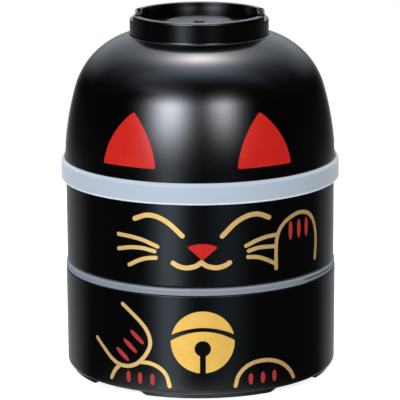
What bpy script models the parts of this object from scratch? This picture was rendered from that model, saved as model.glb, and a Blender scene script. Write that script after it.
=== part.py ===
"""Round two-tier lunch box with a soup bowl for its lid.

From the table up: the lower box on an arched foot ring, its sealing lid with a finger tab, the
upper box with a loose divider, its sealing lid, and the bowl, which stands upside down on that
lid. Metres, +Z up. The origin is on the table, under the axis, and the front faces -Y.
"""

from math import acos, cos, degrees, radians, sin, sqrt

import bmesh
import bpy
from mathutils import Vector

MM = 0.001

# Clearances between pieces
SEAT_GAP = 0.3 * MM  # under a piece that rests on another
SIDE_GAP = 0.3 * MM  # round a piece that fits inside another

# Lower box
LOWER_RADIUS = 54.05 * MM  # outside, at the rim
LOWER_HEIGHT = 41.85 * MM  # table to rim
LOWER_DRAFT = 0.2 * MM  # how much narrower the wall is at its foot
LOWER_EDGE = 2.6 * MM  # rounding where the wall turns under
LOWER_CORNER = 3.0 * MM  # rounding inside, between wall and floor
FOOT_INSET = 2.55 * MM  # outside of the foot ring, in from the rim of the box
FOOT_WIDTH = 4.0 * MM
FOOT_HEIGHT = 1.7 * MM
ARCH_COUNT = 4
ARCH_WIDTH = 22.9 * MM  # across an arch at its crown
ARCH_FLARE = 3.4 * MM  # how much an arch's ends slope outwards
ARCH_TURN = 3.5  # degrees from the diagonals to the arches' middles

# Walls that both boxes share
BOX_WALL = 2.2 * MM
BOX_FLOOR = 2.2 * MM
RIM_EDGE = 0.6 * MM  # rounding along a rim

# Lower lid
LOWER_LID_BAND = 2.95 * MM  # height of the band between the boxes
LOWER_LID_OVERHANG = 0.15 * MM  # band outside the box wall
LOWER_LID_EDGE = 0.9 * MM  # rounding along the top of the band
LID_RECESS = 1.2 * MM  # how deep the upper box's foot sits in the lid
LID_RECESS_WALL = 2.2 * MM  # from that recess to the outside of the band
TAB_ANGLE = 60.0  # degrees from the front to the middle of the finger tab
TAB_SPREAD = 23.0  # degrees that the tab takes up
TAB_REACH = 1.0 * MM  # tab outside the band
TAB_LIP = 1.35 * MM  # height of the tab
TAB_SLOT = 0.55 * MM  # gap over the tab
TAB_SLOT_DEPTH = 1.3 * MM
TAB_FULLNESS = 0.6  # below 1, the tab's reach grows faster from its ends
TAB_SINK = 0.05 * MM  # ends of the tab, under the band's surface

# Plug skirt under each lid, which seals inside a box
PLUG_DEPTH = 5.0 * MM
PLUG_WALL = 1.2 * MM

# Upper box
UPPER_RADIUS = 53.7 * MM
UPPER_HEIGHT = 34.5 * MM  # lower edge of the wall to the rim
UPPER_DRAFT = 0.1 * MM
UPPER_EDGE = 0.8 * MM
UPPER_CORNER = 3.0 * MM
UPPER_FOOT_WIDTH = 2.4 * MM

# Divider in the upper box
DIVIDER_WALL = 1.4 * MM
DIVIDER_HEADROOM = 3.3 * MM  # from its top to the plug skirt above
DIVIDER_FOOT = 9.0 * MM  # width of its flared foot
DIVIDER_FOOT_HEIGHT = 3.0 * MM
DIVIDER_END_GAP = 0.5 * MM

# Upper lid
UPPER_LID_WALL = 1.35 * MM  # thinnest part of its outer wall
UPPER_LID_SKIRT = 1.9 * MM  # how far the skirt hangs below the box's rim
UPPER_LID_PLATE = 2.5 * MM  # from the box's rim to the bowl's seat
UPPER_LID_RISE = 4.5 * MM  # outer wall above the bowl's seat
UPPER_LID_EDGE = 1.2 * MM  # rounding along the top of the outer wall
PANEL_SINK = 0.9 * MM  # middle of the lid, below the bowl's seat
RIDGE_HEIGHT = 1.5 * MM  # ring that centres the bowl
RIDGE_WIDTH = 1.4 * MM

# Bowl, given as it stands on the stack, mouth down
BOWL_RADIUS = 54.15 * MM  # outside, at the mouth
BOWL_HEIGHT = 61.5 * MM  # mouth to the top of the foot ring
BOWL_WALL = 2.0 * MM
BOWL_LIP = 0.5 * MM  # rounding along the mouth
SIDE_ARC = 116.0 * MM  # three tangent arcs make the side, the shoulder and the crown
SHOULDER_ARC = 30.0 * MM
CROWN_ARC = 87.0 * MM
SHOULDER_START = 16.0  # degrees that the side leans in where the shoulder starts
RING_RADIUS = 27.7 * MM
RING_WALL = 2.6 * MM
RING_EDGE = 0.8 * MM
RING_FILLET = 0.9 * MM
RECESS_PAD = 1.25 * MM  # extra thickness inside the foot ring
STEP_RADIUS = 13.0 * MM
STEP_DEPTH = 0.35 * MM
GATE_RADIUS = 2.3 * MM
GATE_DEPTH = 0.6 * MM
NOTCH_WIDTH = 19.8 * MM  # drain notch in each side of the foot ring
NOTCH_DEPTH = 2.1 * MM
NOTCH_FLARE = 0.7 * MM

# Colours and how matt they are
BLACK = (0.008, 0.008, 0.010, 1.0)
BLACK_ROUGHNESS = 0.3
MILKY = (0.62, 0.68, 0.74, 1.0)
MILKY_ROUGHNESS = 0.5

SEGMENTS = 60  # faces round each turned piece
SMOOTH_ANGLE = 35.0  # degrees; sharper edges stay crisp
MERGE = 0.001 * MM
OVERCUT = 1.0 * MM  # how far a cutter reaches past what it cuts

# Heights of the stack, each worked out from the piece below
LOWER_RIM = LOWER_HEIGHT
LOWER_LID_UNDER = LOWER_RIM + SEAT_GAP
LOWER_LID_TOP = LOWER_LID_UNDER + LOWER_LID_BAND
UPPER_BASE = LOWER_LID_TOP + SEAT_GAP
UPPER_RIM = UPPER_BASE + UPPER_HEIGHT
UPPER_LID_UNDER = UPPER_RIM + SEAT_GAP
BOWL_SEAT = UPPER_LID_UNDER + UPPER_LID_PLATE
BOWL_MOUTH = BOWL_SEAT + SEAT_GAP
BOWL_TOP = BOWL_MOUTH + BOWL_HEIGHT


def arc(centre, radius, start, end, count):
    """Points on an arc in the (r, z) plane, from one angle in degrees to another."""
    points = []
    for step in range(count + 1):
        angle = radians(start + (end - start) * step / count)
        points.append((centre[0] + radius * cos(angle), centre[1] + radius * sin(angle)))
    return points


def plastic(name, colour, roughness):
    """A Principled material for a moulded piece."""
    material = bpy.data.materials.new(name)
    material.use_nodes = True
    shader = material.node_tree.nodes["Principled BSDF"]
    shader.inputs["Base Color"].default_value = colour
    shader.inputs["Roughness"].default_value = roughness
    shader.inputs["Metallic"].default_value = 0.0
    material.diffuse_color = colour
    material.roughness = roughness
    return material


def add_object(name, bm, material=None):
    """An object made from a bmesh, with its normals outwards, linked to the scene."""
    mesh = bpy.data.meshes.new(name)
    bmesh.ops.recalc_face_normals(bm, faces=bm.faces)
    bm.to_mesh(mesh)
    bm.free()
    mesh.shade_smooth()
    mesh.set_sharp_from_angle(angle=radians(SMOOTH_ANGLE))
    if material is not None:
        mesh.materials.append(material)
    piece = bpy.data.objects.new(name, mesh)
    bpy.context.collection.objects.link(piece)
    return piece


def turned(name, outline, material=None):
    """A closed outline in the (r, z) plane, spun once round the Z axis."""
    bm = bmesh.new()
    corners = [bm.verts.new((r, 0.0, z)) for r, z in outline]
    edges = []
    for here, after in zip(corners, corners[1:] + corners[:1]):
        on_axis = here.co.x == 0.0 and after.co.x == 0.0
        if not on_axis:
            edges.append(bm.edges.new((here, after)))
    bmesh.ops.spin(
        bm, geom=corners + edges, cent=(0, 0, 0), axis=(0, 0, 1), angle=radians(360),
        steps=SEGMENTS, use_merge=True, use_duplicate=False,
    )
    bmesh.ops.remove_doubles(bm, verts=bm.verts, dist=MERGE)
    return add_object(name, bm, material)


def extruded(name, corners, pull, material=None):
    """A flat face with the given corners, pulled along a vector into a solid."""
    bm = bmesh.new()
    face = bm.faces.new([bm.verts.new(corner) for corner in corners])
    pulled = bmesh.ops.extrude_face_region(bm, geom=[face])
    moved = [item for item in pulled["geom"] if isinstance(item, bmesh.types.BMVert)]
    bmesh.ops.translate(bm, verts=moved, vec=Vector(pull))
    return add_object(name, bm, material)


def radial_cutter(name, section, start, end, direction):
    """A section in the (across, z) plane, pulled outwards from one radius to another.

    direction is measured in degrees from the front (-Y) towards +X.
    """
    corners = [(across, -start, z) for across, z in section]
    cutter = extruded(name, corners, (0.0, start - end, 0.0))
    cutter.rotation_euler.z = radians(direction)
    return as_tool(cutter)


def as_tool(piece):
    """Marks an object as a Boolean operand that isn't part of the model."""
    piece.hide_render = True
    piece.display_type = "WIRE"
    return piece


def combine(piece, tool, operation):
    """Joins the tool to the piece, or cuts it away."""
    modifier = piece.modifiers.new(tool.name, "BOOLEAN")
    modifier.operation = operation
    modifier.solver = "EXACT"
    modifier.object = tool
    tool.parent = piece


def cup_outline(base, rim, radius, draft, edge, corner, foot_in, foot_out, foot_drop):
    """Half section of a drafted cup on a foot ring, from the axis under the floor to the axis above.

    base is the height of the underside, rim that of the rim, and the foot ring between foot_in and
    foot_out reaches foot_drop below the underside.
    """
    low_radius = radius - draft
    inner = radius - BOX_WALL
    low_inner = inner - draft
    floor = base + BOX_FLOOR
    # The foot's outer wall meets the rounded edge of the cup where that edge is as wide
    edge_centre = (low_radius - edge, base + edge)
    reach = max(foot_out - edge_centre[0], 0.0)
    meeting = -degrees(acos(min(reach / edge, 1.0)))
    foot_top = edge_centre[1] + edge * sin(radians(meeting))
    outline = [(0.0, base), (foot_in, base), (foot_in, base - foot_drop)]
    outline += [(foot_out, base - foot_drop), (foot_out, foot_top)]
    outline += arc(edge_centre, edge, meeting, 0.0, 4)[1:]
    outline += arc((radius - RIM_EDGE, rim - RIM_EDGE), RIM_EDGE, 0.0, 90.0, 2)
    outline += arc((inner + RIM_EDGE, rim - RIM_EDGE), RIM_EDGE, 90.0, 180.0, 2)
    outline += arc((low_inner - corner, floor + corner), corner, 0.0, -90.0, 4)
    outline.append((0.0, floor))
    return outline


def lower_box(material):
    """The bottom tier, whose foot ring is arched between four feet."""
    foot_out = LOWER_RADIUS - FOOT_INSET
    outline = cup_outline(
        FOOT_HEIGHT, LOWER_RIM, LOWER_RADIUS, LOWER_DRAFT, LOWER_EDGE, LOWER_CORNER,
        foot_out - FOOT_WIDTH, foot_out, FOOT_HEIGHT,
    )
    piece = turned("lower_box", outline, material)
    top = ARCH_WIDTH / 2
    bottom = top + ARCH_FLARE
    section = [(-bottom, -OVERCUT), (bottom, -OVERCUT), (bottom, 0.0), (top, FOOT_HEIGHT)]
    section += [(-top, FOOT_HEIGHT), (-bottom, 0.0)]
    for number in range(ARCH_COUNT):
        direction = 45.0 + ARCH_TURN + number * 360.0 / ARCH_COUNT
        inner, outer = foot_out / 2, foot_out + OVERCUT
        cutter = radial_cutter(f"arch_{number + 1}", section, inner, outer, direction)
        combine(piece, cutter, "DIFFERENCE")
    return piece


def plug_outline(box_inner, under):
    """The skirt under a lid, from its inside up, round and out to where the lid rests."""
    outside = box_inner - SIDE_GAP
    inside = outside - PLUG_WALL
    tip = PLUG_WALL / 2
    centre = (inside + tip, under - PLUG_DEPTH + tip)
    return [(inside, under)] + arc(centre, tip, 180.0, 360.0, 4) + [(outside, under)]


def lower_lid(material):
    """The sealing lid between the boxes, with a finger tab on its band."""
    outside = LOWER_RADIUS + LOWER_LID_OVERHANG
    recess = outside - LID_RECESS_WALL
    recess_floor = LOWER_LID_TOP - LID_RECESS
    outline = [(0.0, LOWER_LID_UNDER)]
    outline += plug_outline(LOWER_RADIUS - BOX_WALL, LOWER_LID_UNDER)
    outline.append((outside, LOWER_LID_UNDER))
    edge_centre = (outside - LOWER_LID_EDGE, LOWER_LID_TOP - LOWER_LID_EDGE)
    outline += arc(edge_centre, LOWER_LID_EDGE, 0.0, 90.0, 3)
    outline += [(recess, LOWER_LID_TOP), (recess, recess_floor), (0.0, recess_floor)]
    piece = turned("lower_lid", outline, material)
    tip = outside + TAB_REACH
    combine(piece, crescent("finger_tab", outside, tip, 0.0, TAB_LIP), "UNION")
    slot = crescent("tab_slot", outside, tip + OVERCUT, TAB_LIP, TAB_LIP + TAB_SLOT)
    combine(piece, slot, "DIFFERENCE")
    return piece


def crescent(name, band, reach, low, high):
    """A crescent along the lower lid's band, from the bottom of its slot out to reach.

    band is the radius of the band. low and high are heights above the lid's underside.
    """
    end_tip = band - TAB_SINK
    end_root = end_tip - 2 * TAB_SINK
    steps = 8
    inside = []
    outside = []
    for step in range(steps + 1):
        share = step / steps
        angle = radians(TAB_ANGLE + TAB_SPREAD * (share - 0.5))
        bulge = max(sin(radians(180.0 * share)), 0.0) ** TAB_FULLNESS
        tip = end_tip + (reach - end_tip) * bulge
        root = end_root + (band - TAB_SLOT_DEPTH - end_root) * bulge
        inside.append((root * sin(angle), -root * cos(angle), LOWER_LID_UNDER + low))
        outside.append((tip * sin(angle), -tip * cos(angle), LOWER_LID_UNDER + low))
    return as_tool(extruded(name, inside + outside[::-1], (0.0, 0.0, high - low)))


def upper_box(material):
    """The top tier, whose foot ring sits in the recess of the lid below."""
    foot_out = LOWER_RADIUS + LOWER_LID_OVERHANG - LID_RECESS_WALL - SIDE_GAP
    outline = cup_outline(
        UPPER_BASE, UPPER_RIM, UPPER_RADIUS, UPPER_DRAFT, UPPER_EDGE, UPPER_CORNER,
        foot_out - UPPER_FOOT_WIDTH, foot_out, LID_RECESS,
    )
    return turned("upper_box", outline, material)


def divider(material):
    """The loose wall across the upper box, on a flared foot, with ends that follow the box."""
    inner = UPPER_RADIUS - UPPER_DRAFT - BOX_WALL - DIVIDER_END_GAP
    low = UPPER_BASE + BOX_FLOOR + SEAT_GAP
    high = UPPER_LID_UNDER - PLUG_DEPTH - DIVIDER_HEADROOM
    wall = DIVIDER_WALL / 2
    foot = DIVIDER_FOOT / 2
    half_section = [(foot, low), (foot, low + DIVIDER_WALL)]
    fillet = DIVIDER_FOOT_HEIGHT - DIVIDER_WALL
    half_section += arc((wall + fillet, low + DIVIDER_FOOT_HEIGHT), fillet, 270.0, 180.0, 4)
    half_section += arc((0.0, high - wall), wall, 0.0, 90.0, 3)
    section = half_section + [(-across, z) for across, z in half_section[-2::-1]]
    corners = [(across, -inner, z) for across, z in section]
    piece = extruded("divider", corners, (0.0, 2 * inner, 0.0), material)
    # Its ends and its foot keep clear of the box's wall and of the rounding above its floor
    corner = (inner - UPPER_CORNER, low + UPPER_CORNER)
    outline = [(0.0, low - OVERCUT), (corner[0], low - OVERCUT)]
    outline += arc(corner, UPPER_CORNER, -90.0, 0.0, 6)
    outline += [(inner, high + OVERCUT), (0.0, high + OVERCUT)]
    combine(piece, as_tool(turned("divider_room", outline)), "INTERSECT")
    return piece


def upper_lid(material):
    """The sealing lid of the upper box, whose rim holds the bowl."""
    outside = max(UPPER_RADIUS, BOWL_RADIUS) + SIDE_GAP + UPPER_LID_WALL
    skirt = UPPER_RADIUS + SIDE_GAP
    rim_inner = BOWL_RADIUS + SIDE_GAP
    ridge = BOWL_RADIUS - BOWL_WALL - SIDE_GAP
    skirt_low = UPPER_RIM - UPPER_LID_SKIRT
    rim_top = BOWL_SEAT + UPPER_LID_RISE
    panel = BOWL_SEAT - PANEL_SINK
    ridge_top = BOWL_SEAT + RIDGE_HEIGHT
    lip = (outside - skirt) / 2
    rounding = min(UPPER_LID_EDGE, outside - rim_inner)
    outline = [(0.0, UPPER_LID_UNDER)]
    outline += plug_outline(UPPER_RADIUS - BOX_WALL, UPPER_LID_UNDER)
    outline += [(skirt, UPPER_LID_UNDER), (skirt, skirt_low + lip)]
    outline += arc((skirt + lip, skirt_low + lip), lip, 180.0, 360.0, 4)[1:]
    outline += arc((outside - rounding, rim_top - rounding), rounding, 0.0, 90.0, 3)
    outline += [(rim_inner, rim_top), (rim_inner, BOWL_SEAT), (ridge, BOWL_SEAT)]
    outline += [(ridge, ridge_top), (ridge - RIDGE_WIDTH, ridge_top)]
    outline += [(ridge - RIDGE_WIDTH, panel), (0.0, panel)]
    return turned("upper_lid", outline, material)


def bowl_arcs():
    """Centres of the bowl's side, shoulder and crown arcs, and the angle where the last two meet."""
    side = (BOWL_RADIUS - SIDE_ARC, BOWL_MOUTH)
    turn = radians(SHOULDER_START)
    across = SIDE_ARC - SHOULDER_ARC
    shoulder = (side[0] + across * cos(turn), side[1] + across * sin(turn))
    away = CROWN_ARC - SHOULDER_ARC
    below = sqrt(away**2 - shoulder[0] ** 2)
    crown = (0.0, shoulder[1] - below)
    crown_start = degrees(acos(shoulder[0] / away))
    return side, shoulder, crown, crown_start


def crown_height(radius, offset):
    """Height of the crown at a radius, with the surface moved out by offset."""
    crown = bowl_arcs()[2]
    return crown[1] + sqrt((CROWN_ARC + offset) ** 2 - radius**2)


def bowl(material):
    """The soup bowl, mouth down, with two drain notches in its foot ring."""
    side, shoulder, crown, crown_start = bowl_arcs()
    lip = BOWL_LIP
    fillet = RING_FILLET
    outline = arc((BOWL_RADIUS - lip, BOWL_MOUTH + lip), lip, -90.0, 0.0, 2)
    outline += arc(side, SIDE_ARC, 0.0, SHOULDER_START, 4)[1:]
    outline += arc(shoulder, SHOULDER_ARC, SHOULDER_START, crown_start, 6)[1:]
    # A fillet leads from the crown into the foot ring
    fillet_radius = RING_RADIUS + fillet
    fillet_height = crown_height(fillet_radius, 0.0) + fillet
    outline += arc((fillet_radius, fillet_height), fillet, 270.0, 180.0, 2)
    ring_inner = RING_RADIUS - RING_WALL
    outline += arc((RING_RADIUS - RING_EDGE, BOWL_TOP - RING_EDGE), RING_EDGE, 0.0, 90.0, 2)
    outline += arc((ring_inner + RING_EDGE, BOWL_TOP - RING_EDGE), RING_EDGE, 90.0, 180.0, 2)
    outline.append((ring_inner, crown_height(ring_inner, RECESS_PAD)))
    outline.append((STEP_RADIUS, crown_height(STEP_RADIUS, RECESS_PAD)))
    step = crown_height(STEP_RADIUS, RECESS_PAD) - STEP_DEPTH
    outline += [(STEP_RADIUS - STEP_DEPTH, step), (GATE_RADIUS, step)]
    outline += [(GATE_RADIUS, step - GATE_DEPTH), (0.0, step - GATE_DEPTH)]
    # The inside runs parallel to the outside, from the crown down to the mouth
    outline.append((0.0, crown_height(0.0, -BOWL_WALL)))
    outline += arc(crown, CROWN_ARC - BOWL_WALL, 90.0, crown_start, 3)[1:]
    outline += arc(shoulder, SHOULDER_ARC - BOWL_WALL, crown_start, SHOULDER_START, 6)[1:]
    outline += arc(side, SIDE_ARC - BOWL_WALL, SHOULDER_START, 0.0, 4)[1:-1]
    inner = BOWL_RADIUS - BOWL_WALL
    outline += arc((inner + lip, BOWL_MOUTH + lip), lip, 180.0, 270.0, 2)
    piece = turned("bowl", outline, material)
    low = BOWL_TOP - NOTCH_DEPTH
    bottom = NOTCH_WIDTH / 2 - NOTCH_FLARE
    top = NOTCH_WIDTH / 2
    section = [(-bottom, low), (bottom, low), (top, low + NOTCH_FLARE), (top, BOWL_TOP + OVERCUT)]
    section += [(-top, BOWL_TOP + OVERCUT), (-top, low + NOTCH_FLARE)]
    for number, direction in enumerate((90.0, 270.0)):
        inner, outer = ring_inner / 2, RING_RADIUS + OVERCUT
        cutter = radial_cutter(f"notch_{number + 1}", section, inner, outer, direction)
        combine(piece, cutter, "DIFFERENCE")
    return piece


def main():
    """Models the lunch box, stacked and closed."""
    for piece in list(bpy.data.objects):
        bpy.data.objects.remove(piece, do_unlink=True)
    lower_box(plastic("lower_box_black", BLACK, BLACK_ROUGHNESS))
    lower_lid(plastic("lower_lid_milky", MILKY, MILKY_ROUGHNESS))
    upper_box(plastic("upper_box_black", BLACK, BLACK_ROUGHNESS))
    divider(plastic("divider_milky", MILKY, MILKY_ROUGHNESS))
    upper_lid(plastic("upper_lid_milky", MILKY, MILKY_ROUGHNESS))
    bowl(plastic("bowl_black", BLACK, BLACK_ROUGHNESS))


main()
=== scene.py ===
"""Looks of a round two-tier lunch box whose cover is a soup bowl turned upside down.

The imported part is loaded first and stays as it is. Each of its pieces is then made again with
fine facets, true roundings and its finish, and carries its screen-printed strokes. The sizes
that the frame can give are taken from it, and the classes hold the rest. Lengths are in metres,
+Z is up, the front faces -Y, and an angle round the axis counts from the front towards +X.
"""

from __future__ import annotations

import logging
import math
from collections.abc import Callable
from dataclasses import dataclass, field
from enum import Enum

import bmesh
import bpy
from mathutils import Matrix, Vector


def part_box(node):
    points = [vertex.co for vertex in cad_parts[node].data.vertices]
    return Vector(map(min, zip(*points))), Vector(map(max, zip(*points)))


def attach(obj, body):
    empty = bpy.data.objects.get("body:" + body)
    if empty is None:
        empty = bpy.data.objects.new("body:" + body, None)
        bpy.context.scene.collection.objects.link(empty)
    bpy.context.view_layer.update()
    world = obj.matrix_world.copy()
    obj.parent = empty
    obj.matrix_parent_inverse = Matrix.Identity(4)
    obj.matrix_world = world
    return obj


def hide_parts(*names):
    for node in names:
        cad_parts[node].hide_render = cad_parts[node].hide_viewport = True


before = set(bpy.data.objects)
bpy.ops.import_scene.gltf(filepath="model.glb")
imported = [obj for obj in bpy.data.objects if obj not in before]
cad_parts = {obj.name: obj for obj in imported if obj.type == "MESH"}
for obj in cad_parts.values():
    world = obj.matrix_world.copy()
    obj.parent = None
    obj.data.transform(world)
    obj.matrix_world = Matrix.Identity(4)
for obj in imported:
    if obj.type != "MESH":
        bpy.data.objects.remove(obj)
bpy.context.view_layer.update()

MM = 0.001
MERGE = 0.002 * MM  # corners closer than this are one corner
SHARP = 40.0  # degrees; an edge sharper than this stays crisp
FACETS = 240  # faces round a turned piece
QUARTERS = (0.0, 0.25, 0.5, 0.75, 1.0)  # shares of a flare that get a row of corners
STROKE_STEPS = 6  # steps between two stops of a brush line
TIP_STEPS = 8  # steps round the end of a brush line
LEAF_STEPS = 14  # steps along each side of a leaf
LEAF_FULLNESS = 0.85  # at 1 a leaf is an ellipse, and below 1 it narrows later
BRUSH_STEPS = 4  # steps round the tip of a brush

Point = tuple[float, float]
Outline = list[Point]
Colour = tuple[float, float, float, float]
WHITE = (1.0, 1.0, 1.0, 1.0)

log = logging.getLogger("lunch_box")


class Slot(Enum):
    """Material slots that the record names."""

    BLACK = "black_lacquer"
    MILKY = "milky_lid"
    GOLD = "gold_ink"
    RED = "red_ink"


class Body(Enum):
    """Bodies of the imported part, from the table up."""

    LOWER_BOX = "lower_box"
    LOWER_LID = "lower_lid"
    UPPER_BOX = "upper_box"
    DIVIDER = "divider"
    UPPER_LID = "upper_lid"
    BOWL = "bowl"


# Outlines and meshes


def arc(centre: Point, radius: float, start: float, end: float, count: int) -> Outline:
    """Points on a circular arc, in equal steps from one angle to another, in degrees."""
    turns = [math.radians(start + (end - start) * step / count) for step in range(count + 1)]
    return [(centre[0] + radius * math.cos(t), centre[1] + radius * math.sin(t)) for t in turns]


def rounding(corner: Point, radius: float, start: float, count: int) -> Outline:
    """Rounding in place of a square corner, a quarter turn from its first angle on.

    Args:
        corner: The square corner.
        radius: Radius of the rounding.
        start: First angle: 0, 90, 180 or 270 degrees.
        count: Number of equal steps.

    Returns:
        Points on the rounding, both ends included.
    """
    side = radius if start in (90.0, 180.0) else -radius
    up = radius if start in (180.0, 270.0) else -radius
    return arc((corner[0] + side, corner[1] + up), radius, start, start + 90.0, count)


def smooth_corner(start: Point, corner: Point, end: Point, steps: int) -> Outline:
    """A curve from start to end that bends towards a corner.

    Args:
        start: First point.
        corner: Point that pulls the curve.
        end: Last point.
        steps: Number of steps.

    Returns:
        Points on the curve, both ends included.
    """
    points = []
    for step in range(steps + 1):
        t = step / steps
        first, pull, last = (1 - t) ** 2, 2 * t * (1 - t), t * t
        x = first * start[0] + pull * corner[0] + last * end[0]
        points.append((x, first * start[1] + pull * corner[1] + last * end[1]))
    return points


def ease(low: float, high: float, value: float) -> float:
    """Smooth step of a value, from 0 at low to 1 at high."""
    share = min(max((value - low) / (high - low), 0.0), 1.0)
    return share * share * (3.0 - 2.0 * share)


def edges_round(angles: list[float], half_width: float, radius: float) -> list[float]:
    """Angles of both edges of something centred at each angle, measured straight across."""
    half = math.degrees(math.asin(half_width / radius))
    return [middle + side * half for middle in angles for side in (-1.0, 1.0)]


def offset_angle(angle: float, middles: list[float]) -> float:
    """Smallest difference, in degrees, between an angle and the nearest of the middles."""
    return min(abs((angle - middle + 180.0) % 360.0 - 180.0) for middle in middles)


def join_rows(
    bm: bmesh.types.BMesh, rows: list[list[bmesh.types.BMVert]], around: bool = False
) -> None:
    """Lays faces between each row of corners and the next.

    Args:
        bm: Mesh to fill.
        rows: Rows of as many corners each.
        around: Whether a row's last corner is joined to its first.
    """
    if around:
        rows = [row + row[:1] for row in rows]
    for near, far in zip(rows, rows[1:]):
        for corners in zip(near, far, far[1:], near[1:]):
            bm.faces.new(corners)


def finish_mesh(name: str, bm: bmesh.types.BMesh, body: Body) -> bpy.types.Object:
    """Turns a bmesh into a smooth-shaded object that rides on a body.

    Args:
        name: Name of the new object.
        bm: Mesh to use up.
        body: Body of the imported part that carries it.

    Returns:
        The linked object.
    """
    bmesh.ops.remove_doubles(bm, verts=bm.verts, dist=MERGE)
    bmesh.ops.dissolve_degenerate(bm, edges=bm.edges, dist=MERGE / 10)
    bmesh.ops.recalc_face_normals(bm, faces=bm.faces)
    piece = link_mesh(name, bm)
    piece.data.shade_smooth()
    piece.data.set_sharp_from_angle(angle=math.radians(SHARP))
    piece.modifiers.new("even_shading", "WEIGHTED_NORMAL").keep_sharp = True
    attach(piece, body.value)
    return piece


def link_mesh(name: str, bm: bmesh.types.BMesh) -> bpy.types.Object:
    """Puts a bmesh into the scene.

    Args:
        name: Name of the new object and of its mesh.
        bm: Mesh to use up.

    Returns:
        The new object.
    """
    mesh = bpy.data.meshes.new(name)
    bm.to_mesh(mesh)
    bm.free()
    piece = bpy.data.objects.new(name, mesh)
    bpy.context.scene.collection.objects.link(piece)
    return piece


# Node trees


class Graph:
    """A node tree that is filled by short calls, in which a node stands for its first output."""

    def __init__(self, tree: bpy.types.NodeTree) -> None:
        """Starts with an empty tree."""
        self.tree = tree
        self.tree.nodes.clear()

    def add(self, kind: str, *values: object, **named: object) -> bpy.types.Node:
        """Adds a node.

        Args:
            kind: Name of the node type.
            *values: What its first inputs get, in their order.
            **named: Properties of the node, and inputs, whose names start with a capital letter
                and have underscores for spaces.

        Returns:
            The new node.
        """
        node = self.tree.nodes.new(kind)
        for key, value in named.items():
            if key[0].isupper():
                self.plug(node.inputs[key.replace("_", " ")], value)
            else:
                setattr(node, key, value)
        for socket, value in zip(node.inputs, values):
            self.plug(socket, value)
        return node

    def plug(self, socket: bpy.types.NodeSocket, value: object) -> None:
        """Links an input, or sets its own value.

        Args:
            socket: Input to fill.
            value: A node, an output socket or a value.
        """
        if isinstance(value, bpy.types.Node):
            value = value.outputs[0]
        if isinstance(value, bpy.types.NodeSocket):
            self.tree.links.new(value, socket)
        else:
            socket.default_value = value

    def math(self, operation: str, *values: object, clamp: bool = False) -> bpy.types.Node:
        """A Math node, whose result may be kept between 0 and 1."""
        return self.add("ShaderNodeMath", *values, operation=operation, use_clamp=clamp)

    def times(self, first: object, second: object) -> bpy.types.Node:
        """Product of two values."""
        return self.math("MULTIPLY", first, second)

    def vector(self, operation: str, *values: object, **inputs: object) -> bpy.types.Node:
        """A Vector Math node."""
        return self.add("ShaderNodeVectorMath", *values, operation=operation, **inputs)

    def ramp(self, value: object, ends: Point, start: object = 0.0, end: object = 1.0,
             kind: str = "SMOOTHSTEP") -> bpy.types.Node:
        """Maps a value between two ends to start and end, and keeps it there."""
        return self.add("ShaderNodeMapRange", value, *ends, start, end, interpolation_type=kind)

    def mix_colour(self, share: object, first: object, second: object) -> bpy.types.NodeSocket:
        """Mix of two colours, of which a share of 1 gives the second.

        Args:
            share: Value between 0 and 1.
            first: Colour.
            second: Colour.

        Returns:
            The output socket.
        """
        node = self.add("ShaderNodeMix", share, data_type="RGBA")
        colours = [socket for socket in node.inputs if socket.type == "RGBA"]
        self.plug(colours[0], first)
        self.plug(colours[1], second)
        return next(socket for socket in node.outputs if socket.type == "RGBA")

    def noise(self, place: object, scale: object, detail: float,
              roughness: float = 0.5) -> bpy.types.Node:
        """A noise texture with so many waves to a metre."""
        inputs = {"Vector": place, "Scale": scale, "Detail": detail, "Roughness": roughness}
        return self.add("ShaderNodeTexNoise", **inputs)


class EffectGroup:
    """A shader node group with named sockets."""

    def __init__(self, name: str, inputs: tuple[str, ...], outputs: tuple[str, ...]) -> None:
        """Makes an empty group.

        Args:
            name: Name of the group.
            inputs: Names of the input values.
            outputs: Names of the output values.
        """
        self.tree = bpy.data.node_groups.new(name, "ShaderNodeTree")
        for titles, side in ((inputs, "INPUT"), (outputs, "OUTPUT")):
            for title in titles:
                kind = "NodeSocketFloat"
                self.tree.interface.new_socket(title, in_out=side, socket_type=kind)
        self.graph = Graph(self.tree)
        self.source = self.graph.add("NodeGroupInput").outputs
        self.result = self.graph.add("NodeGroupOutput").inputs

    def place(self, graph: Graph, **values: object) -> bpy.types.Node:
        """Uses the group in another tree, with what its inputs get by name."""
        return graph.add("ShaderNodeGroup", node_tree=self.tree, **values)


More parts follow.
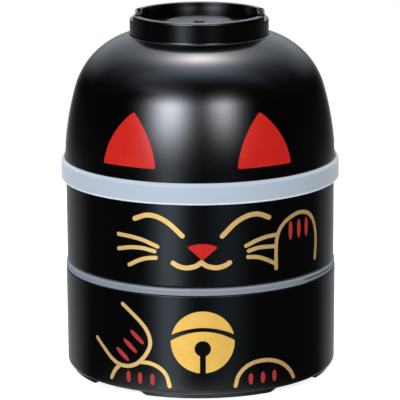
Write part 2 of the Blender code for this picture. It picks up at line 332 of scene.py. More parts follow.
@dataclass
class SharedEffects:
    """Effects that more than one finish uses, each built once as a node group."""

    wave_share: float = 0.75  # slow waves in the relief of a skin; the rest is fine peel
    smear_ends: Point = (0.42, 0.72)  # noise from which a smear starts and at which it is full
    hairline_scale: float = 220.0
    hairline_stretch: float = 14.0  # how much finer hairlines are in height than in length
    hairline_turn: tuple[float, float, float] = (0.3, 0.2, 0.0)
    hairline_ends: Point = (0.6, 0.75)
    hairline_share: float = 0.5
    speck_ends: Point = (0.16, 0.06)  # distances at which a speck fades out and is full
    patch_scale: float = 160.0  # patches in which specks gather
    patch_ends: Point = (0.58, 0.7)
    moulding: EffectGroup = field(init=False)
    handling: EffectGroup = field(init=False)
    height_band: EffectGroup = field(init=False)

    def __post_init__(self) -> None:
        """Builds the groups."""
        self.build_moulding()
        self.build_handling()
        self.build_height_band()

    def build_moulding(self) -> None:
        """Slow waves and fine peel of a moulded or coated skin, as a height from 0 to 1."""
        group = EffectGroup("moulded_skin", ("Wave Scale", "Peel Scale"), ("Height",))
        graph = group.graph
        place = graph.add("ShaderNodeTexCoord").outputs["Object"]
        slow = graph.noise(place, group.source["Wave Scale"], detail=1.0)
        waves = graph.times(slow, self.wave_share)
        peel = graph.noise(place, group.source["Peel Scale"], detail=2.0, roughness=0.6)
        height = graph.math("MULTIPLY_ADD", peel, 1.0 - self.wave_share, waves)
        graph.plug(group.result["Height"], height)
        self.moulding = group

    def build_handling(self) -> None:
        """Smears, hairlines and specks of dust that handling leaves, as two masks."""
        scales = ("Smear Scale", "Speck Scale")
        group = EffectGroup("handling_marks", scales, ("Smears", "Specks"))
        graph = group.graph
        place = graph.add("ShaderNodeTexCoord").outputs["Object"]
        clouds = graph.noise(place, group.source["Smear Scale"], detail=4.0, roughness=0.65)
        stretch = (1.0, 1.0, self.hairline_stretch)
        squeeze = graph.add(
            "ShaderNodeMapping", Vector=place, Scale=stretch, Rotation=self.hairline_turn
        )
        streaks = graph.noise(squeeze, self.hairline_scale, detail=3.0)
        hairlines = graph.times(graph.ramp(streaks, self.hairline_ends), self.hairline_share)
        smears = graph.math("ADD", graph.ramp(clouds, self.smear_ends), hairlines, clamp=True)
        graph.plug(group.result["Smears"], smears)
        dots = graph.add("ShaderNodeTexVoronoi", Vector=place, Scale=group.source["Speck Scale"])
        patchy = graph.ramp(graph.noise(place, self.patch_scale, detail=1.0), self.patch_ends)
        specks = graph.times(graph.ramp(dots.outputs["Distance"], self.speck_ends), patchy)
        graph.plug(group.result["Specks"], specks)
        self.handling = group

    def build_height_band(self) -> None:
        """Mask of a band between two heights above the table, with soft edges."""
        group = EffectGroup("height_band", ("Low", "High", "Softness"), ("Mask",))
        graph, source = group.graph, group.source
        place = graph.add("ShaderNodeTexCoord").outputs["Object"]
        height = graph.add("ShaderNodeSeparateXYZ", place).outputs["Z"]
        sides = []
        for upper, lower in ((height, source["Low"]), (source["High"], height)):
            gap = graph.math("SUBTRACT", upper, lower)
            sides.append(graph.math("ADD", graph.math("DIVIDE", gap, source["Softness"]), 0.5))
        graph.plug(group.result["Mask"], graph.math("MINIMUM", *sides, clamp=True))
        self.height_band = group


# Finishes


@dataclass
class Surface:
    """A material in the making, with the effects that every finish has."""

    graph: Graph
    effects: SharedEffects
    relief: bpy.types.Node  # height of the moulded skin
    marks: bpy.types.NodeOutputs  # smears and specks
    rougher: bpy.types.Node  # roughness, raised by the smears

    def band(self, low: float, high: float, softness: float) -> bpy.types.Node:
        """Mask of a band between two heights above the table."""
        inputs = {"Low": low, "High": high, "Softness": softness}
        return self.effects.height_band.place(self.graph, **inputs)


@dataclass(frozen=True, kw_only=True)
class Finish:
    """A coated or moulded skin with marks of handling."""

    name: str
    slot: Slot
    colour: Colour
    roughness: float
    smeared: float  # how much rougher a smear is
    smear_scale: float
    speck_scale: float
    wave_scale: float
    peel_scale: float
    relief: float  # strength of the bump
    relief_depth: float = 0.1 * MM

    def looks(self, surface: Surface) -> dict[str, object]:
        """What the inputs of the shader get, by name; each kind of finish has its own."""
        raise NotImplementedError

    def material(self, effects: SharedEffects) -> bpy.types.Material:
        """Makes the material.

        Args:
            effects: Node groups shared by the finishes.

        Returns:
            A new material.
        """
        material = new_material(self.name, self.colour)
        graph = Graph(material.node_tree)
        skin = effects.moulding.place(
            graph, Wave_Scale=self.wave_scale, Peel_Scale=self.peel_scale
        )
        marks = effects.handling.place(
            graph, Smear_Scale=self.smear_scale, Speck_Scale=self.speck_scale
        ).outputs
        rougher = graph.math("MULTIPLY_ADD", marks["Smears"], self.smeared, self.roughness)
        bump = graph.add(
            "ShaderNodeBump", Strength=self.relief, Distance=self.relief_depth, Height=skin
        )
        looks = self.looks(Surface(graph, effects, skin, marks, rougher))
        shader = graph.add("ShaderNodeBsdfPrincipled", Normal=bump, **looks)
        graph.add("ShaderNodeOutputMaterial", shader)
        return material


def new_material(name: str, colour: Colour) -> bpy.types.Material:
    """An empty node material.

    Args:
        name: Name of the material.
        colour: Colour for plain views.

    Returns:
        The material.
    """
    material = bpy.data.materials.new(name)
    material.use_nodes = True
    material.diffuse_color = colour
    return material


@dataclass(frozen=True, kw_only=True)
class Lacquer(Finish):
    """Satin black lacquer on a moulded shell."""

    slot: Slot = Slot.BLACK
    scuffed_above: float = -1.0 * MM  # under the table, so that the scuffs reach down to it
    scuffed_below: float  # height under which the foot is scuffed
    scuff_edge: float = 0.6 * MM
    scuff_roughness: float = 0.2
    colour: Colour = (0.0004, 0.0004, 0.0005, 1.0)
    dusty: Colour = (0.01, 0.01, 0.011, 1.0)
    dust: float = 0.35
    scuffed: Colour = (0.02, 0.02, 0.021, 1.0)
    roughness: float = 0.165
    smeared: float = 0.025
    smear_scale: float = 22.0
    speck_scale: float = 650.0
    wave_scale: float = 60.0
    peel_scale: float = 1100.0
    relief: float = 0.04

    def looks(self, surface: Surface) -> dict[str, object]:
        """Adds dust, and scuffs along the foot.

        Args:
            surface: The material in the making.

        Returns:
            Inputs of the shader, by name.
        """
        graph = surface.graph
        scuffs = surface.band(self.scuffed_above, self.scuffed_below, self.scuff_edge)
        worn = graph.times(scuffs, surface.marks["Smears"])
        dust = graph.times(surface.marks["Specks"], self.dust)
        colour = graph.mix_colour(dust, self.colour, self.dusty)
        rougher = graph.math("MULTIPLY_ADD", worn, self.scuff_roughness, surface.rougher)
        return {"Base_Color": graph.mix_colour(worn, colour, self.scuffed), "Roughness": rougher}


@dataclass(frozen=True, kw_only=True)
class MilkyPlastic(Finish):
    """Soft translucent plastic of a sealing lid, with a painted glow along its lower edge and a
    painted highlight along its upper edge.
    """

    slot: Slot = Slot.MILKY
    # colour of the painted glow and highlight lines, which the smears also lean towards
    edge: Colour
    low: float  # height of the lower edge
    high: float  # height of the upper edge
    margin: float = 1.0 * MM  # how far the painted glow and highlight lines reach past the edges
    painted_glow_line: float  # height of the painted glow line along the lower edge, standing in for light gathered in it
    painted_glow_blur: float = 0.3 * MM
    painted_highlight_line: float  # height of the painted highlight line along the upper edge
    painted_highlight_blur: float = 0.6 * MM
    painted_highlight_share: float = 0.35  # strength of the painted highlight line
    smear_share: float = 0.012
    roughness: float = 0.42
    smeared: float = 0.03
    smear_scale: float = 18.0
    speck_scale: float = 500.0
    wave_scale: float = 90.0
    peel_scale: float = 1400.0
    relief: float = 0.08
    depth: float = 0.12  # share of light that goes through the skin
    depth_colour: tuple[float, float, float] = (1.0, 1.1, 1.25)
    depth_reach: float = 1.2 * MM
    sheen: float = 0.0  # strength of the pale sheen at grazing angles
    sheen_tint: Colour = (1.0, 0.92, 0.84, 1.0)

    def looks(self, surface: Surface) -> dict[str, object]:
        """Adds the painted glow and highlight lines along the edges, and depth.

        Args:
            surface: The material in the making.

        Returns:
            Inputs of the shader, by name.
        """
        graph = surface.graph
        # painted glow along the lower edge, and painted highlight along the upper edge
        lower = surface.band(self.low - self.margin, self.low + self.painted_glow_line, self.painted_glow_blur)
        upper = surface.band(self.high - self.painted_highlight_line, self.high + self.margin, self.painted_highlight_blur)
        faint = graph.times(surface.marks["Smears"], self.smear_share)
        colour = self.colour
        for share in (faint, graph.times(upper, self.painted_highlight_share), lower):
            colour = graph.mix_colour(share, colour, self.edge)
        return {
            "Base_Color": colour, "Roughness": surface.rougher, "Subsurface_Weight": self.depth,
            "Subsurface_Radius": self.depth_colour, "Subsurface_Scale": self.depth_reach,
            "Sheen_Weight": self.sheen, "Sheen_Tint": self.sheen_tint,
        }


@dataclass(frozen=True, kw_only=True)
class Ink(Finish):
    """Screen-printed ink, with the grain of its pigment."""

    thin: Colour  # colour where the ink lies thinner
    metal: float = 0.0
    grain: float = 0.35  # how much of the thin colour shows
    grain_ends: Point = (0.4, 0.62)
    smeared: float = 0.08
    smear_scale: float = 40.0
    speck_scale: float = 900.0
    wave_scale: float = 240.0
    peel_scale: float = 3000.0
    relief: float = 0.12
    relief_depth: float = 0.05 * MM

    def looks(self, surface: Surface) -> dict[str, object]:
        """Adds the grain and the metal.

        Args:
            surface: The material in the making.

        Returns:
            Inputs of the shader, by name.
        """
        graph = surface.graph
        thin = graph.times(graph.ramp(surface.relief, self.grain_ends), self.grain)
        colour = graph.mix_colour(thin, self.colour, self.thin)
        return {"Base_Color": colour, "Roughness": surface.rougher, "Metallic": self.metal}


@dataclass
class Palette:
    """The finished materials by name, each made at its first use."""

    effects: SharedEffects = field(default_factory=SharedEffects)
    made: dict[str, bpy.types.Material] = field(default_factory=dict)

    def dress(self, piece: bpy.types.Object, finish: Finish) -> None:
        """Puts a finish on a piece, making its material at its first use, and logs it.

        Args:
            piece: Object to dress.
            finish: Finish that it gets.
        """
        if finish.name not in self.made:
            self.made[finish.name] = finish.material(self.effects)
        piece.data.materials.append(self.made[finish.name])
        log.info("%s: %d faces, %s", piece.name, len(piece.data.polygons), finish.name)


GOLD_INK = Ink(
    name="gold_ink", slot=Slot.GOLD, colour=(0.87, 0.525, 0.1, 1.0), thin=(0.81, 0.445, 0.07, 1.0),
    roughness=0.5, metal=0.45,
)
GOLD_LINE = Ink(
    name="gold_line_ink", slot=Slot.GOLD, colour=(0.87, 0.58, 0.20, 1.0),
    thin=(0.80, 0.49, 0.15, 1.0), roughness=0.5, metal=0.64,
)
RED_INK = Ink(
    name="red_ink", slot=Slot.RED, colour=(0.53, 0.013, 0.007, 1.0),
    thin=(0.48, 0.010, 0.005, 1.0), roughness=0.22,
)
RED_DAB = Ink(
    name="red_dab_ink", slot=Slot.RED, colour=(0.41, 0.029, 0.027, 1.0),
    thin=(0.36, 0.024, 0.022, 1.0), roughness=0.22,
)


# Pieces of the stack


@dataclass
class StackPiece:
    """A piece of the stack, placed by its node.

    It is turned about the axis and lacquered black, unless its class has a mesh or a finish of
    its own.
    """

    body: Body
    form: str = "shell"  # last word of its name
    swell: float = 0.0  # how far the moulded outside stands off its nominal radius
    scuff: float = 0.0  # height of its scuffed foot
    low: float = field(init=False)
    high: float = field(init=False)
    radius: float = field(init=False)

    def __post_init__(self) -> None:
        """Takes the heights and the radius from the frame."""
        lowest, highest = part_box(self.body.value)
        self.low, self.high = lowest.z, highest.z
        self.radius = (highest.x - lowest.x) / 2 + self.swell

    def section(self, angle: float) -> Outline:
        """Half section at an angle in degrees, from the axis up round the outside and back."""
        raise NotImplementedError

    def extra_angles(self) -> list[float]:
        """Angles that need a row of corners of their own."""
        return []

    def finish(self) -> Finish:
        """The finish that the piece gets."""
        name = f"{self.body.value}_lacquer"
        return Lacquer(name=name, scuffed_below=self.low + self.scuff)

    def mesh(self) -> bmesh.types.BMesh:
        """Turns the section about the axis.

        Returns:
            A new mesh.
        """
        even = [step * 360.0 / FACETS for step in range(FACETS)]
        extra = [round(angle % 360.0, 4) for angle in self.extra_angles()]
        bm = bmesh.new()
        columns = []
        for angle in sorted({*even, *extra}):
            side, back = math.sin(math.radians(angle)), -math.cos(math.radians(angle))
            columns.append([bm.verts.new((r * side, r * back, z)) for r, z in self.section(angle)])
        join_rows(bm, columns + columns[:1])
        return bm

    def build(self, palette: Palette) -> None:
        """Makes the piece and lets it stand for its node.

        Args:
            palette: Materials.
        """
        piece = finish_mesh(f"{self.body.value}_{self.form}", self.mesh(), self.body)
        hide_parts(self.body.value)
        palette.dress(piece, self.finish())


@dataclass
class FoodBox(StackPiece):
    """A moulded food box: a drafted wall on a foot ring."""

    wall: float = 2.2 * MM
    floor: float = 2.2 * MM
    draft: float = 0.2 * MM
    edge: float = 2.6 * MM  # rounding where the wall turns under
    corner: float = 3.0 * MM  # rounding inside, between wall and floor
    rim_edge: float = 0.6 * MM  # rounding inside the rim
    rim_out: float = 0.22 * MM  # rounding outside the rim
    foot_out: float = 51.9 * MM
    foot_width: float = 4.0 * MM
    foot_height: float = 1.55 * MM
    foot_edge: float = 0.5 * MM

    def foot_share(self, across: float, angle: float) -> float:
        """How much of the foot's height is left; a plain foot keeps all of it."""
        return 1.0

    def section(self, angle: float) -> Outline:
        """Half section through the foot, the wall and the floor.

        Args:
            angle: Degrees from the front.

        Returns:
            Outline from the axis, under the floor, up and back to the axis.
        """
        base = self.low + self.foot_height
        foot_in = self.foot_out - self.foot_width
        foot = rounding((foot_in, self.low), self.foot_edge, 180.0, 3)
        foot += rounding((self.foot_out, self.low), self.foot_edge, 270.0, 3)
        outline = [(0.0, base), (foot_in, base)]
        outline += [(r, base - (base - z) * self.foot_share(r, angle)) for r, z in foot]
        middle = (self.radius - self.draft - self.edge, base + self.edge)
        reach = min(max(self.foot_out - middle[0], 0.0) / self.edge, 1.0)
        outline += arc(middle, self.edge, -math.degrees(math.acos(reach)), 0.0, 10)
        outline += rounding((self.radius, self.high), self.rim_out, 0.0, 4)
        inner = self.radius - self.wall
        outline += rounding((inner, self.high), self.rim_edge, 90.0, 5)
        floor = base + self.floor
        middle = (inner - self.draft - self.corner, floor + self.corner)
        outline += arc(middle, self.corner, 0.0, -90.0, 8)
        return [*outline, (0.0, floor)]

    def outer_radius(self, height: float) -> float:
        """Radius of the drafted wall at a height."""
        top, foot = self.high - self.rim_edge, self.low + self.foot_height + self.edge
        return self.radius - self.draft * min(max((top - height) / (top - foot), 0.0), 1.0)


@dataclass
class LowerBox(FoodBox):
    """The lower box, whose foot ring is arched between four feet."""

    swell: float = 0.25 * MM
    scuff: float = 0.5 * MM
    arches: int = 4
    arch_width: float = 20.9 * MM  # across an arch at its crown
    arch_flare: float = 3.4 * MM
    arch_turn: float = 3.5  # degrees from the diagonals to the arches' middles
    arch_pull: float = 1.5  # degrees that an arch lies nearer to the front or the back

    def middles(self) -> list[float]:
        """Angles of the middles of the arches."""
        turns = (self.arch_turn - self.arch_pull, self.arch_turn + self.arch_pull)
        return [45.0 + 360.0 * step / self.arches + turns[step % 2] for step in range(self.arches)]

    def foot_share(self, across: float, angle: float) -> float:
        """Share of the foot's height at a radius: 0 under the crown of an arch, 1 on a foot."""
        sideways = across * math.sin(math.radians(min(offset_angle(angle, self.middles()), 90.0)))
        return ease(self.arch_width / 2, self.arch_width / 2 + self.arch_flare, sideways)

    def extra_angles(self) -> list[float]:
        """Angles of the arches' flares."""
        halves = [self.arch_width / 2 + share * self.arch_flare for share in QUARTERS]
        return sum((edges_round(self.middles(), half, self.foot_out) for half in halves), [])


@dataclass
class UpperBox(FoodBox):
    """The upper box, whose plain foot ring sits in the lid below."""

    swell: float = 0.15 * MM
    scuff: float = 0.4 * MM
    draft: float = 0.1 * MM
    edge: float = 0.8 * MM
    foot_out: float = 51.7 * MM
    foot_width: float = 2.4 * MM
    foot_height: float = 1.0 * MM
    foot_edge: float = 0.25 * MM
    print_base: float = 1.2 * MM  # height above its foot from which the print is measured


@dataclass
class SealingLid(StackPiece):
    """What both lids have: a plate over a plug skirt that seals inside a box."""

    form: str = "disc"
    plug_depth: float = 5.0 * MM
    plug_wall: float = 1.2 * MM
    plug_radius: float = 51.55 * MM
    sink: float = 0.2 * MM  # how far the moulded rim stays under its full height

    def under(self) -> float:
        """Height of the plate's underside."""
        return self.low + self.plug_depth

    def plug(self) -> Outline:
        """Outline under the plate, from the axis out round the plug skirt.

        Returns:
            Outline from the axis to the outside of the plug.
        """
        under = self.under()
        inside, tip = self.plug_radius - self.plug_wall, self.plug_wall / 2
        skirt = arc((inside + tip, under - self.plug_depth + tip), tip, 180.0, 360.0, 8)
        return [(0.0, under), (inside, under), *skirt, (self.plug_radius, under)]


@dataclass
class LowerLid(SealingLid):
    """The lid between the boxes, with a finger tab cut free along part of its band."""

    edge: float = 0.9 * MM
    lower_edge: float = 0.25 * MM
    recess: float = 1.2 * MM
    recess_wall: float = 2.2 * MM
    tab_angle: float = 60.0
    tab_spread: float = 23.0
    tab_steps: int = 24
    tab_reach: float = 0.75 * MM
    tab_lip: float = 1.25 * MM
    tab_slot: float = 0.85 * MM
    tab_slot_depth: float = 2.2 * MM
    tab_fullness: float = 0.6
    tab_slope: float = 0.9 * MM  # how far the tab's face leans in towards its lower edge
    slot_taper: float = 2.6  # the slot narrows to a point where the tab's bulge is below 1 / this

    def bulge(self, angle: float) -> float:
        """Share of its full reach that the tab has at an angle: 0 outside it, 1 at its middle."""
        share = min(offset_angle(angle, [self.tab_angle]) / (self.tab_spread / 2), 1.0)
        return math.cos(math.radians(90.0 * share)) ** self.tab_fullness if share < 1.0 else 0.0

    def section(self, angle: float) -> Outline:
        """Half section through the plug skirt, the band with its tab, and the recess.

        Args:
            angle: Degrees from the front.

        Returns:
            Outline from the axis, under the plate, round the band and back to the axis.
        """
        under, bulge, lip = self.under(), self.bulge(angle), self.lower_edge
        tip = self.radius + self.tab_reach * bulge
        opening = min(self.slot_taper * bulge, 1.0)
        root = min(self.radius - self.tab_slot_depth * opening, tip - lip)
        lip_top = under + self.tab_lip
        slot_top = lip_top + self.tab_slot * opening
        outline = self.plug()
        outline += rounding((tip - self.tab_slope * bulge, under), lip, 270.0, 3)
        outline += rounding((tip, lip_top), lip, 0.0, 3)
        outline += [(root, lip_top), (root, slot_top)]
        outline += [(self.radius, slot_top if bulge else lip_top)]
        high = self.high - self.sink
        outline += rounding((self.radius, high), self.edge, 0.0, 8)
        inner = self.radius - self.recess_wall
        outline += [(inner, high), (inner, self.high - self.recess)]
        return [*outline, (0.0, self.high - self.recess)]

    def extra_angles(self) -> list[float]:
        """Angles of close rows of corners along the tab."""
        shares = [2 * step / self.tab_steps - 1 for step in range(self.tab_steps + 1)]
        return [self.tab_angle + self.tab_spread / 2 * share for share in shares]

    def finish(self) -> Finish:
        """Dim milky plastic, in which the dark boxes show through."""
        return MilkyPlastic(
            name="lower_lid_plastic", colour=(0.213, 0.228, 0.25, 1.0),
            edge=(0.30, 0.32, 0.345, 1.0), low=self.under(), high=self.high,
            painted_glow_line=0.2 * MM, painted_highlight_line=0.7 * MM,
        )


@dataclass
class UpperLid(SealingLid):
    """The lid of the upper box, whose rim holds the bowl."""

    plug_radius: float = 51.2 * MM
    skirt_radius: float = 54.0 * MM
    skirt_drop: float = 1.6 * MM  # skirt below the plate's underside
    rise: float = 4.5 * MM  # outer wall above the bowl's seat
    rim_inner: float = 54.45 * MM
    rim_slope: float = 0.1 * MM  # how far the rim's top falls towards the bowl
    shoulder: float = 0.9 * MM  # width of the sloping top of the outer wall
    shoulder_drop: float = 1.2 * MM
    edge: float = 0.35 * MM  # reach of the two bends of the sloping top
    slope_share: float = 0.5  # of that reach, how much a bend has along the slope
    flat_share: float = 0.3  # and how much the upper one has along the rim
    low_edge: float = 0.3 * MM  # rounding along the bottom of the outer wall
    panel_sink: float = 0.9 * MM
    ridge_radius: float = 51.85 * MM
    ridge_width: float = 1.4 * MM
    ridge_height: float = 1.5 * MM

    def hang(self) -> float:
        """Height of the bottom of the outer wall."""
        return self.under() - self.skirt_drop

    def section(self, angle: float) -> Outline:
        """Half section through the plug, the outer wall and the ridge, the same at every angle.

        Args:
            angle: Degrees from the front.

        Returns:
            Outline from the axis, under the plate, round the rim and back to the axis.
        """
        seat, hang, high = self.high - self.rise, self.hang(), self.high - self.sink
        outline = [*self.plug(), (self.skirt_radius, self.under())]
        outline += rounding((self.skirt_radius, hang), self.low_edge, 180.0, 4)
        outline += rounding((self.radius, hang), self.low_edge, 270.0, 5)
        bend, top = (self.radius, high - self.shoulder_drop), (self.radius - self.shoulder, high)
        above = (bend[0] - self.edge * self.slope_share, bend[1] + self.edge)
        outline += smooth_corner((bend[0], bend[1] - self.edge), bend, above, 4)
        before = (top[0] + self.edge * self.slope_share, high - self.edge)
        outline += smooth_corner(before, top, (top[0] - self.edge * self.flat_share, high), 4)
        outline += [(self.rim_inner, high - self.rim_slope), (self.rim_inner, seat)]
        ridge_in, lip = self.ridge_radius - self.ridge_width, self.ridge_width / 4
        outline.append((self.ridge_radius, seat))
        outline += rounding((self.ridge_radius, seat + self.ridge_height), lip, 0.0, 4)
        outline += rounding((ridge_in, seat + self.ridge_height), lip, 90.0, 4)
        return [*outline, (ridge_in, seat - self.panel_sink), (0.0, seat - self.panel_sink)]

    def finish(self) -> Finish:
        """Pale milky plastic with a sheen towards its outline."""
        return MilkyPlastic(
            name="upper_lid_plastic", colour=(0.40, 0.46, 0.505, 1.0),
            edge=(0.66, 0.70, 0.75, 1.0), low=self.hang(), high=self.high,
            painted_glow_line=0.75 * MM, painted_highlight_line=1.6 * MM, painted_highlight_share=0.05, sheen=0.52,
        )


@dataclass
class Divider(StackPiece):
    """The loose wall across the upper box, on a flared foot."""

    form: str = "wall"
    wall: float = 1.4 * MM
    foot_width: float = 9.0 * MM
    foot_height: float = 3.0 * MM
    foot_edge: float = 0.3 * MM
    end_radius: float = 50.9 * MM  # reach of its ends
    corner: float = 3.0 * MM  # rounding that its ends follow above the floor
    steps: int = 12

    def reach(self, height: float) -> float:
        """Radius that the ends may reach at a height above the table."""
        up = max(self.corner - (height - self.low), 0.0)
        return self.end_radius - self.corner + math.sqrt(self.corner**2 - up**2)

    def outline(self) -> Outline:
        """Cross-section in the (x, z) plane.

        Returns:
            Closed outline, once round.
        """
        half, foot = self.wall / 2, self.foot_width / 2
        fillet = self.foot_height - self.wall
        side = rounding((foot, self.low), self.foot_edge, 270.0, 3)
        side += rounding((foot, self.low + self.wall), self.foot_edge, 0.0, 3)
        side += arc((half + fillet, self.low + self.foot_height), fillet, 270.0, 180.0, 8)
        side += rounding((half, self.high), half, 0.0, 6)
        return side + [(-x, z) for x, z in side[-2::-1]]

    def mesh(self) -> bmesh.types.BMesh:
        """Draws the cross-section out along the Y axis.

        Returns:
            A new mesh.
        """
        bm = bmesh.new()
        ends = [(x, math.sqrt(self.reach(z) ** 2 - x * x), z) for x, z in self.outline()]
        rows = []
        for step in range(self.steps + 1):
            share = 2.0 * step / self.steps - 1.0
            rows.append([bm.verts.new((x, share * end, z)) for x, end, z in ends])
        join_rows(bm, rows, around=True)
        bmesh.ops.triangulate(bm, faces=[bm.faces.new(rows[0]), bm.faces.new(rows[-1])])
        return bm

    def finish(self) -> Finish:
        """Pale milky plastic."""
        return MilkyPlastic(
            name="divider_plastic", colour=(0.50, 0.55, 0.61, 1.0), edge=(0.80, 0.82, 0.84, 1.0),
            low=self.low, high=self.high, painted_glow_line=0.3 * MM, painted_highlight_line=0.6 * MM,
        )


@dataclass
class SoupBowl(StackPiece):
    """The bowl, mouth down: side, shoulder and crown arcs under a notched foot ring."""

    swell: float = 0.1 * MM
    scuff: float = -5.0 * MM  # under its mouth, so that nothing is scuffed
    wall: float = 2.0 * MM
    lip: float = 0.5 * MM
    lip_turn: float = 0.3  # degrees of the side's arc that the lip takes up
    side_arc: float = 116.0 * MM
    shoulder_arc: float = 30.0 * MM
    crown_arc: float = 87.0 * MM
    shoulder_start: float = 16.0
    ring_radius: float = 27.7 * MM
    ring_wall: float = 2.6 * MM
    ring_edge: float = 0.8 * MM
    ring_inner_edge: float = 0.25 * MM
    ring_fillet: float = 0.9 * MM
    ring_turn: float = 0.2  # degrees of the crown's arc that the ring's fillet takes up
    pad: float = 1.25 * MM
    recess_fillet: float = 0.6 * MM
    recess_end: float = 285.0  # degrees on that fillet where it meets the recess's floor
    step_radius: float = 13.0 * MM
    step_depth: float = 0.35 * MM
    step_run: float = 0.62 * MM
    gate_radius: float = 2.3 * MM
    gate_depth: float = 0.6 * MM
    gate_edge: float = 0.2 * MM
    notch_width: float = 19.8 * MM
    notch_depth: float = 2.1 * MM
    notch_flare: float = 0.7 * MM
    turn: float = -1.5  # degrees that the bowl is turned on the lid

    def notches(self) -> list[float]:
        """Angles of the middles of the two notches."""
        return [90.0 + self.turn, 270.0 + self.turn]

    def side_centre(self) -> Point:
        """Centre of the side's arc."""
        return self.radius - self.side_arc, self.low

    def shoulder_centre(self) -> Point:
        """Centre of the shoulder's arc, on the line where the side ends."""
        away = self.side_arc - self.shoulder_arc
        return arc(self.side_centre(), away, self.shoulder_start, self.shoulder_start, 1)[0]

    def crown_base(self) -> float:
        """Height of the centre of the crown's arc, on the axis."""
        x, z = self.shoulder_centre()
        return z - math.sqrt((self.crown_arc - self.shoulder_arc) ** 2 - x**2)

    def crown_start(self) -> float:
        """Angle where the shoulder meets the crown, in degrees."""
        away = self.crown_arc - self.shoulder_arc
        return math.degrees(math.acos(self.shoulder_centre()[0] / away))

    def crown_height(self, radius: float, offset: float = 0.0) -> float:
        """Height of the crown, moved out by offset, at a radius."""
        return self.crown_base() + math.sqrt((self.crown_arc + offset) ** 2 - radius**2)

    def outer_radius(self, height: float) -> float:
        """Outside radius of the side and the shoulder at a height.

        Args:
            height: Height above the table.

        Returns:
            Radius there.
        """
        centre, reach = self.side_centre(), self.side_arc
        if height >= centre[1] + reach * math.sin(math.radians(self.shoulder_start)):
            centre, reach = self.shoulder_centre(), self.shoulder_arc
        return centre[0] + math.sqrt(reach**2 - (height - centre[1]) ** 2)

    def notch_share(self, across: float, angle: float) -> float:
        """How deep a notch is at a radius: 1 at its bottom, and 0 outside the notches."""
        sideways = across * math.sin(math.radians(offset_angle(angle, self.notches())))
        return 1.0 - ease(self.notch_width / 2 - self.notch_flare, self.notch_width / 2, sideways)

    def extra_angles(self) -> list[float]:
        """Angles of the notches' flares, at both sides of the ring."""
        halves = [self.notch_width / 2 - share * self.notch_flare for share in QUARTERS]
        radii = (self.ring_radius, self.ring_radius - self.ring_wall)
        return sum((edges_round(self.notches(), h, r) for h in halves for r in radii), [])

    def section(self, angle: float) -> Outline:
        """Half section at an angle round the axis.

        Args:
            angle: Degrees from the front.

        Returns:
            Outline from the axis, inside the crown, down, round the mouth, up and over the
            foot ring, and back to the axis.
        """
        start, turn = self.crown_start(), self.shoulder_start
        side, shoulder, crown = self.side_centre(), self.shoulder_centre(), (0.0, self.crown_base())
        outline = arc(crown, self.crown_arc - self.wall, 90.0, start, 10)
        outline[0] = (0.0, outline[0][1])  # exactly on the axis
        outline += arc(shoulder, self.shoulder_arc - self.wall, start, turn, 20)[1:]
        outline += arc(side, self.side_arc - self.wall, turn, self.lip_turn, 14)[1:]
        outline += rounding((self.radius - self.wall, self.low), self.lip, 180.0, 5)
        outline += rounding((self.radius, self.low), self.lip, 270.0, 5)
        outline += arc(side, self.side_arc, self.lip_turn, turn, 14)
        outline += arc(shoulder, self.shoulder_arc, turn, start, 20)[1:]
        fillet = self.ring_fillet
        foot = self.ring_radius + fillet
        last = math.degrees(math.acos(foot / self.crown_arc)) - self.ring_turn
        outline += arc(crown, self.crown_arc, start, last, 4)[1:]
        outline += arc((foot, self.crown_height(foot) + fillet), fillet, 270.0, 180.0, 6)
        ring_inner = self.ring_radius - self.ring_wall
        ring = rounding((self.ring_radius, self.high), self.ring_edge, 0.0, 7)
        ring += rounding((ring_inner, self.high), self.ring_inner_edge, 90.0, 4)
        outline += [(r, z - self.notch_depth * self.notch_share(r, angle)) for r, z in ring]
        return outline + self.recess(ring_inner)

    def recess(self, ring_inner: float) -> Outline:
        """Outline of the hollow in the foot ring, over its step and its gate mark.

        Args:
            ring_inner: Inside radius of the foot ring.

        Returns:
            Outline from the ring to the axis.
        """
        fillet = self.recess_fillet
        corner = self.crown_height(ring_inner, self.pad)
        outline = arc((ring_inner - fillet, corner + fillet), fillet, 360.0, self.recess_end, 4)
        for radius in ((ring_inner + self.step_radius) / 2, self.step_radius):
            outline.append((radius, self.crown_height(radius, self.pad)))
        step = outline[-1][1] - self.step_depth
        gate = self.gate_radius
        outline += [(self.step_radius - self.step_run, step), (gate + self.gate_edge, step)]
        outline += [(gate, step - self.gate_edge), (gate, step - self.gate_depth)]
        return [*outline, (0.0, step - self.gate_depth)]


# Screen print


def smooth_path(stops: Outline, steps: int) -> list[Vector]:
    """A curve that passes through every stop, with its tangents set by the stops beside it.

    Args:
        stops: Points that the curve passes through.
        steps: Number of steps between two stops.

    Returns:
        Points along the curve, first and last stop included.
    """
    ends = ((stops[0], stops[1]), (stops[-1], stops[-2]))
    behind, ahead = [(2 * end[0] - inner[0], 2 * end[1] - inner[1]) for end, inner in ends]
    padded = [Vector(stop) for stop in (behind, *stops, ahead)]
    path = []
    for before, here, after, beyond in zip(padded, padded[1:], padded[2:], padded[3:]):
        for step in range(steps):
            t = step / steps
            bend = 2 * before - 5 * here + 4 * after - beyond
            swing = 3 * here - before - 3 * after + beyond
            path.append(here + 0.5 * t * ((after - before) + t * (bend + t * swing)))
    return [*path, Vector(stops[-1])]


def ribbon(stops: Outline, width: float) -> Outline:
    """Outline of a stroke of even width with round ends.

    Args:
        stops: Places that its middle line passes through.
        width: Width of the stroke.

    Returns:
        Closed outline, once round.
    """
    path = smooth_path(stops, STROKE_STEPS)
    left: Outline = []
    right: Outline = []
    for index, here in enumerate(path):
        along = (path[min(index + 1, len(path) - 1)] - path[max(index - 1, 0)]).normalized()
        across = Vector((-along.y, along.x)) * (width / 2)
        left.append((here.x + across.x, here.y + across.y))
        right.append((here.x - across.x, here.y - across.y))
    end, start = round_end(path[-2], path[-1], width), round_end(path[1], path[0], width)
    return left + end + right[::-1] + start


